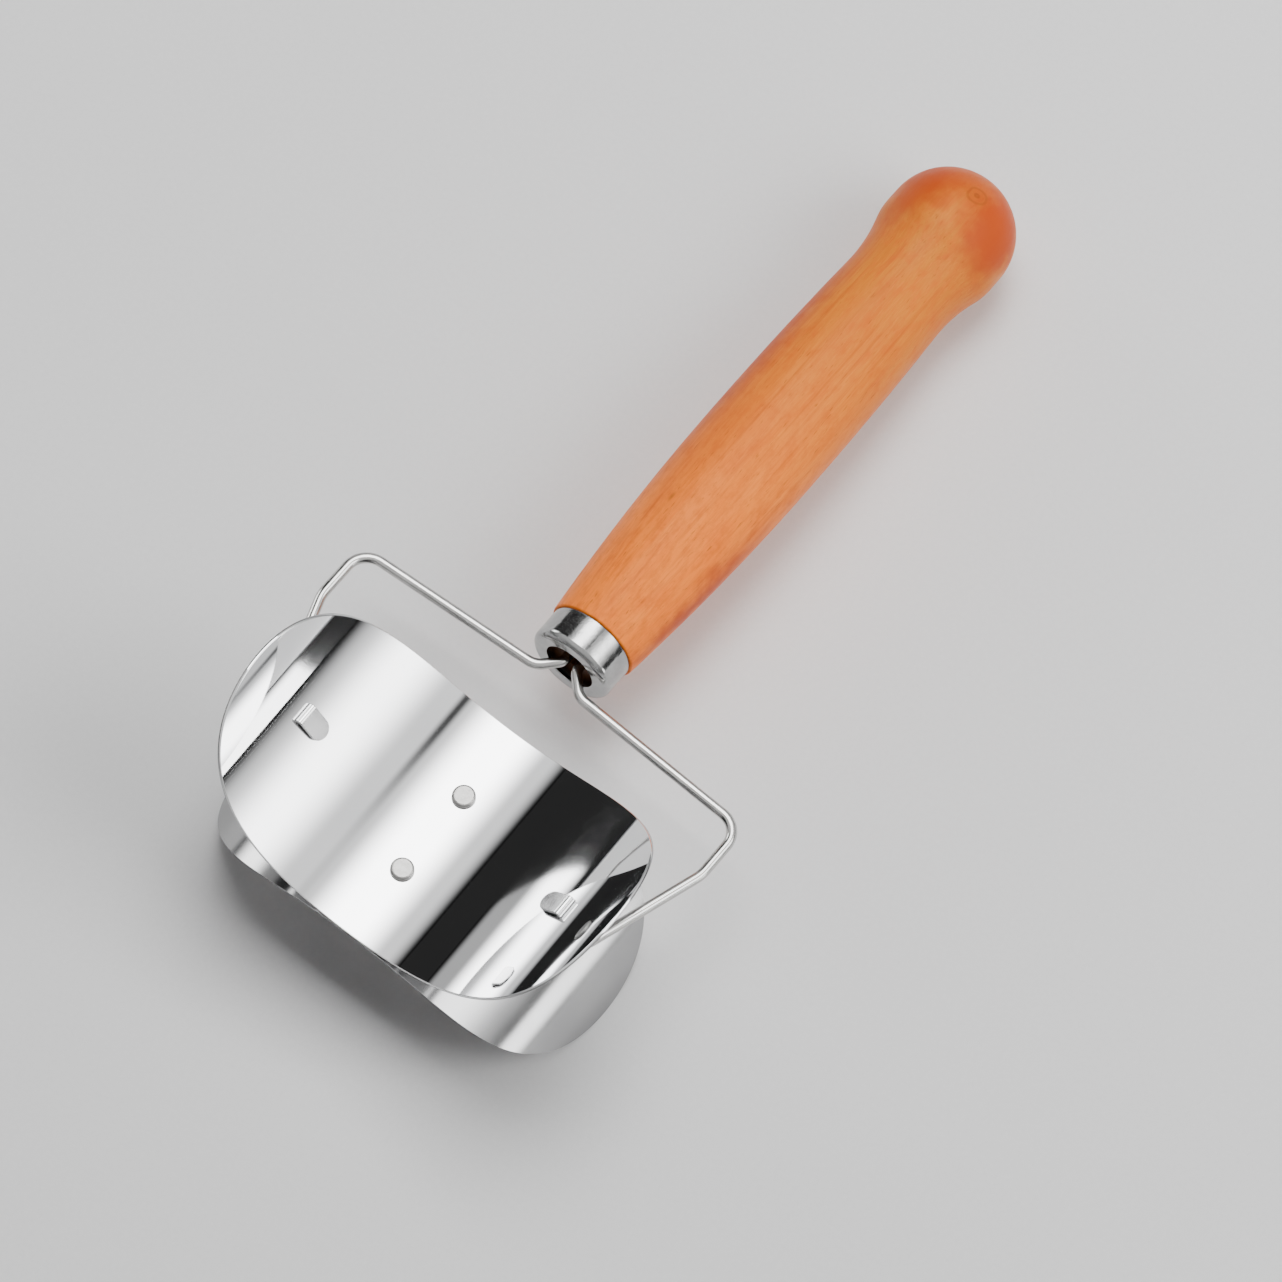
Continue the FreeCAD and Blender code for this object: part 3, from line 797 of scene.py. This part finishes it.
def ferrule_chrome():
    """Drawn and plated cap: mirror with soft mottling from the drawing die."""
    n = Nodes("drawn_chrome")
    place = n.local(HAND_FRAME)
    mottle = n.noise(place, 0.42, 3.0, 0.55, 0.6)
    fine = n.noise(n.local(HAND_FRAME, (1.0, 0.25, 1.0)), 1.6, 3.0)
    colour = n.mix(mottle, (0.27, 0.27, 0.27), (0.47, 0.47, 0.465))
    n.set(Base_Color=colour, Metallic=1.0, Roughness=n.ramp(fine, [(0.35, 0.11), (0.8, 0.22)]))
    n.bump(mottle, 0.35, 0.12)
    return n.material


def handle_wood():
    """Orange-tan hardwood under a thin satin varnish, its grain along the handle."""
    n = Nodes("varnished_hardwood")
    place = n.local(HAND_FRAME)
    along = n.add("ShaderNodeSeparateXYZ", {"Vector": place}).outputs["Y"]
    fibre_place = n.local(HAND_FRAME, (1.0, 0.05, 1.0))
    fibre = n.noise(fibre_place, 1.7, 5.0, 0.68)
    fine = n.noise(fibre_place, 5.5, 3.0, 0.6)
    mottle = n.noise(n.local(HAND_FRAME, (1.0, 0.45, 1.0)), 0.55, 5.0, 0.65)
    pores = n.noise(n.local(HAND_FRAME, (1.0, 0.10, 1.0)), 3.2, 2.0, 0.5)
    pits = n.ramp(pores, [(0.66, 0.0), (0.73, 0.7)])

    base = wood_figure(n, along, fibre, fine, mottle)
    base = n.mix(pits, base, WOOD_PORE)
    base = wood_stains_and_edge_shade(n, place, base)
    # The wood from just inside the ferrule's back edge forward (the tenon, its end in the
    # ferrule's mouth, and the bore) is painted nearly black: darker end grain plus painted shade
    # of the recess.
    end_grain_and_shade = n.fade(along, WOOD_START - 0.7, WOOD_START - 0.2, 1.0, 0.0)
    base = n.mix(end_grain_and_shade, base, WOOD_END_GRAIN_AND_SHADE)

    rough = n.ramp(mottle, [(0.3, 0.40), (0.75, 0.54)])
    n.set(Base_Color=base, Roughness=rough, Specular_IOR_Level=0.2, Specular_Tint=VARNISH_TINT)
    height = n.math("ADD", n.math("MULTIPLY", fibre, 0.6), n.math("MULTIPLY", fine, 0.4))
    n.bump(n.math("SUBTRACT", height, pits), 0.3, 0.05)
    return n.material


def wood_figure(n, along, fibre, fine, mottle):
    """The wood's colour: an orange front tone that turns darker and more tan towards the back,
    with fibres, pale flecks and streaks.
    """
    figure = n.noise(n.local(HAND_FRAME, (1.0, 0.12, 1.0)), 0.22, 5.0, 0.65, 1.0)
    waves = n.ramp(figure, [(0.38, 0.0), (0.62, 1.0)])
    front = n.mix(waves, WOOD_ORANGE, WOOD_SALMON)
    back = n.mix(waves, WOOD_TAN, WOOD_YELLOW)
    tone = n.fade(along, WOOD_START + TONE_START, WOOD_START + TONE_END, 0.0, 1.0)
    base = n.mix(tone, front, back)
    base = n.mix(n.ramp(fibre, [(0.48, 0.0), (0.72, 0.55)]), base, WOOD_DEEP)
    base = n.mix(n.ramp(fine, [(0.50, 0.0), (0.70, 0.24)]), base, WOOD_PALE)
    base = n.mix(n.ramp(mottle, [(0.46, 0.0), (0.68, 0.55)]), base, WOOD_DEEP)
    streaks = n.noise(n.local(HAND_FRAME, (1.0, 0.016, 1.0)), 1.1, 2.0, 0.5)
    return n.mix(n.ramp(streaks, [(0.54, 0.0), (0.74, 0.36)]), base, WOOD_RED)


def wood_stains_and_edge_shade(n, place, base):
    """Red-brown stains and two stripes of painted edge shade, with wandering edges; a knot with
    rippled rings; and one dark fleck.
    """
    noise = n.add("ShaderNodeTexNoise", {"Vector": place, "Scale": 0.2, "Detail": 3.0})
    wander = n.vector("SUBTRACT", noise.outputs["Color"], (0.5, 0.5, 0.5))
    bent = n.vector("ADD", place, n.vector("MULTIPLY", wander, (STAIN_AND_SHADE_WANDER,) * 3))
    for centre, length, size, softness, strength in WOOD_STAINS_AND_EDGE_SHADE:
        squeeze = (1.0, size / length, 1.0)
        middle = tuple(a * b for a, b in zip(centre, squeeze))
        red_patch = n.near(n.vector("MULTIPLY", bent, squeeze), middle, size, softness)
        base = n.mix(n.math("MULTIPLY", red_patch, strength), base, WOOD_RED)

    rippled = n.vector("ADD", place, n.vector("MULTIPLY", wander, (RING_WANDER,) * 3))
    distance = n.vector("DISTANCE", rippled, KNOT_CENTRE, "Value")
    rings = n.math("SINE", n.math("MULTIPLY", distance, KNOT_RING_RATE))
    knot = n.near(rippled, KNOT_CENTRE, KNOT_RADIUS, KNOT_SOFTNESS)
    ring_share = n.math("MULTIPLY", knot, n.ramp(rings, [(0.0, 0.10), (0.9, 0.6)]))
    base = n.mix(ring_share, base, WOOD_KNOT)

    squeeze = (1.0, FLECK_SIZE / FLECK_LENGTH, 1.0)
    middle = tuple(a * b for a, b in zip(FLECK_CENTRE, squeeze))
    fleck = n.near(n.local(HAND_FRAME, squeeze), middle, FLECK_SIZE, 0.3)
    return n.mix(n.math("MULTIPLY", fleck, 0.75), base, WOOD_KNOT)


def floor_paper():
    """Pale seamless paper."""
    n = Nodes("pale_paper")
    place = n.add("ShaderNodeTexCoord").outputs["Object"]
    tooth = n.noise(place, 900.0, 3.0)
    colour = n.mix(tooth, (0.76, 0.76, 0.765), (0.82, 0.82, 0.82))
    n.set(Base_Color=colour, Roughness=0.9, Specular_IOR_Level=0.2)
    n.bump(tooth, 0.15, 0.05)
    return n.material


# ---------------------------------------------------------------- studio
AIM = Vector((8.3, -21.6, 26.0)) * MM
VIEW_AZIMUTH, VIEW_ELEVATION, VIEW_ROLL = 31.2, 67.75, 6.98
VIEW_DISTANCE = 1.644
SENSOR_WIDTH = 36.0
# The lens's focal length over the width of the frame.
LENS_TO_FRAME = 6.50468
CLIP_END = 20.0


def make_camera():
    """A long lens that looks down on the tool, slightly rolled."""
    azimuth, elevation = math.radians(VIEW_AZIMUTH), math.radians(VIEW_ELEVATION)
    level = Vector((-math.sin(azimuth), math.cos(azimuth), 0))
    forward = level * math.cos(elevation) - Vector((0, 0, math.sin(elevation)))
    right = forward.cross(Vector((0, 0, 1))).normalized()
    up = right.cross(forward)
    roll = math.radians(VIEW_ROLL)
    rolled_right = right * math.cos(roll) + up * math.sin(roll)
    rolled_up = up * math.cos(roll) - right * math.sin(roll)
    data = bpy.data.cameras.new("main_camera")
    data.sensor_width = SENSOR_WIDTH
    data.lens = SENSOR_WIDTH * LENS_TO_FRAME
    data.clip_end = CLIP_END
    camera = bpy.data.objects.new("main_camera", data)
    turn = Matrix((rolled_right, rolled_up, -forward)).transposed().to_4x4()
    camera.matrix_world = Matrix.Translation(AIM - forward * VIEW_DISTANCE) @ turn
    bpy.context.scene.collection.objects.link(camera)
    bpy.context.scene.camera = camera


# The light tent: sheets of lit cloth on a tunnel about the axle. Angles are in degrees from the
# horizon at +X over the top, places along the tunnel in metres.
TENT_RADIUS = 1.3
TENT_FRONT = -0.05
TENT_STEPS = 64
# Each sheet: where it starts, how soon it is bright, where it ends, how soon it dims, its
# brightness, its back end, and its bright strips (middle, half width, softness, brightness).
MAIN_STRIPS = [(43.0, 1.5, 21.0, 5.5), (99.0, 5.0, 16.0, 9.0)]
TENT_SHEETS = {
    "main_sheet": (11.0, 12.0, 130.5, 8.0, 1.4, 0.95, MAIN_STRIPS),
    "right_card": (-1.0, 3.0, 16.0, 3.0, 0.8, 0.341, [(8.0, 3.5, 5.5, 6.0)]),
    "left_card": (146.0, 4.0, 179.0, 4.0, 0.6, 0.348, [(166.7, 2.5, 9.0, 7.0)]),
}
# The left card's back end curves forward by this much at its upper end.
LEFT_CARD_CURVE = 0.036
# A wedge-shaped seam in the main sheet: narrow and faint at the front, dark at the back.
SEAM_ANGLE, SEAM_HALF_WIDTH, SEAM_SOFTNESS = 74.7, 0.3, 3.4
# The seam's two ends: the place along the tunnel and how dark it is there.
SEAM_FRONT, SEAM_BACK = (0.29, 0.2), (0.355, 0.93)


def tent_cloth(name, start, start_fade, end, end_fade, level, back, strips):
    """Cloth lit from behind in soft strips that run along the tool."""
    n = Nodes(name)
    place = n.add("ShaderNodeTexCoord").outputs["Object"]
    parts = n.add("ShaderNodeSeparateXYZ", {"Vector": place}).outputs
    height = n.math("SUBTRACT", parts["Z"], AXLE.z * MM)
    turn = n.math("MULTIPLY", n.math("ARCTAN2", height, parts["X"]), 180 / math.pi)
    light = n.math("MULTIPLY", n.fade(turn, start, start + start_fade, 0.0, level),
                   n.fade(turn, end - end_fade, end, 1.0, 0.0))
    for middle, half_width, softness, brightness in strips:
        away = n.math("ABSOLUTE", n.math("SUBTRACT", turn, middle))
        glow = n.fade(away, half_width, half_width + softness, brightness, 0.0)
        light = n.math("ADD", light, glow)
    seam = n.fade(parts["Y"], SEAM_FRONT[0], SEAM_BACK[0], SEAM_FRONT[1], SEAM_BACK[1])
    away = n.math("ABSOLUTE", n.math("SUBTRACT", turn, SEAM_ANGLE))
    in_seam = n.fade(away, SEAM_HALF_WIDTH, SEAM_HALF_WIDTH + SEAM_SOFTNESS, 1.0, 0.0)
    shade = n.math("MULTIPLY", seam, in_seam)
    light = n.math("MULTIPLY", light, n.math("SUBTRACT", 1.0, shade))
    n.set(Base_Color=(0, 0, 0, 1), Roughness=1.0, Specular_IOR_Level=0.0,
          Emission_Color=(1, 1, 1, 1), Emission_Strength=light)
    return n.material


def make_tent():
    """The light tent's sheets, which the camera doesn't see."""
    for name, sheet in TENT_SHEETS.items():
        start, end, back = sheet[0], sheet[2], sheet[5]
        vertices = []
        for share in np.linspace(0, 1, TENT_STEPS + 1):
            turn = math.radians(start + (end - start) * share)
            x, z = TENT_RADIUS * math.cos(turn), TENT_RADIUS * math.sin(turn)
            curve = LEFT_CARD_CURVE * (1 - share) ** 2 if name == "left_card" else 0.0
            vertices += [(x, TENT_FRONT, AXLE.z * MM + z), (x, back - curve, AXLE.z * MM + z)]
        faces = [(2 * i, 2 * i + 1, 2 * i + 3, 2 * i + 2) for i in range(TENT_STEPS)]
        piece = add_stage(name, vertices, faces, tent_cloth(name, *sheet))
        piece.visible_camera = False
        piece.visible_shadow = False


def add_stage(name, vertices, faces, material):
    """A mesh that is part of the studio, not of the tool."""
    mesh = bpy.data.meshes.new(name)
    mesh.from_pydata(vertices, [], faces)
    mesh.materials.append(material)
    piece = bpy.data.objects.new(name, mesh)
    bpy.context.scene.collection.objects.link(piece)
    return piece


# The room's walls, low and high: a direction's Z part and the brightness there.
ROOM_LOW, ROOM_HIGH = (-0.05, 0.22), (0.75, 1.0)
# The room is never darker than this, and has a dark band about one Y part of a direction.
ROOM_DARK = 0.03
DARK_BAND_PLACE, DARK_BAND_HALF_WIDTH, DARK_BAND_SOFTNESS = 0.324, 0.10, 0.15
FLOOR_HALF_WIDTH = 3.0


def make_room():
    """A dim room, brighter overhead, that only shows in reflections."""
    world = bpy.data.worlds.new("room")
    bpy.context.scene.world = world
    world.use_nodes = True
    world.cycles_visibility.diffuse = False
    n = RoomNodes(world)
    direction = n.add("ShaderNodeTexCoord").outputs["Generated"]
    parts = n.add("ShaderNodeSeparateXYZ", {"Vector": direction}).outputs
    away = n.math("ABSOLUTE", n.math("SUBTRACT", parts["Y"], DARK_BAND_PLACE))
    walls = n.fade(parts["Z"], ROOM_LOW[0], ROOM_HIGH[0], ROOM_LOW[1], ROOM_HIGH[1])
    shade = n.fade(away, DARK_BAND_HALF_WIDTH, DARK_BAND_HALF_WIDTH + DARK_BAND_SOFTNESS, 0.0, 1.0)
    light = n.math("ADD", n.math("MULTIPLY", walls, shade), ROOM_DARK)
    n.set(Color=(1, 1, 1, 1), Strength=light)


def make_floor():
    """A wide sheet of pale paper under the tool."""
    half = FLOOR_HALF_WIDTH
    corners = [(-half, -half, 0), (half, -half, 0), (half, half, 0), (-half, half, 0)]
    add_stage("floor", corners, [(0, 1, 2, 3)], floor_paper())


# ---------------------------------------------------------------- the whole scene
def dress(pieces, material):
    """Give pieces a material."""
    for piece in pieces:
        piece.data.materials.clear()
        piece.data.materials.append(material)


blade_shape = blade_mesh()
dress([make_blade("upper_blade", 0.0, blade_shape),
       make_blade("lower_blade", math.pi, blade_shape)], blade_steel())
dress([make_rivet("front_rivet", -1), make_rivet("rear_rivet", 1)], rivet_steel())
dress([make_strut("right_bearing_strut", 1), make_strut("left_bearing_strut", -1)],
      strut_steel())
dress([make_yoke()], yoke_steel())
dress([make_ferrule()], ferrule_chrome())
dress([make_handle()], handle_wood())
make_tent()
make_room()
make_floor()
make_camera()
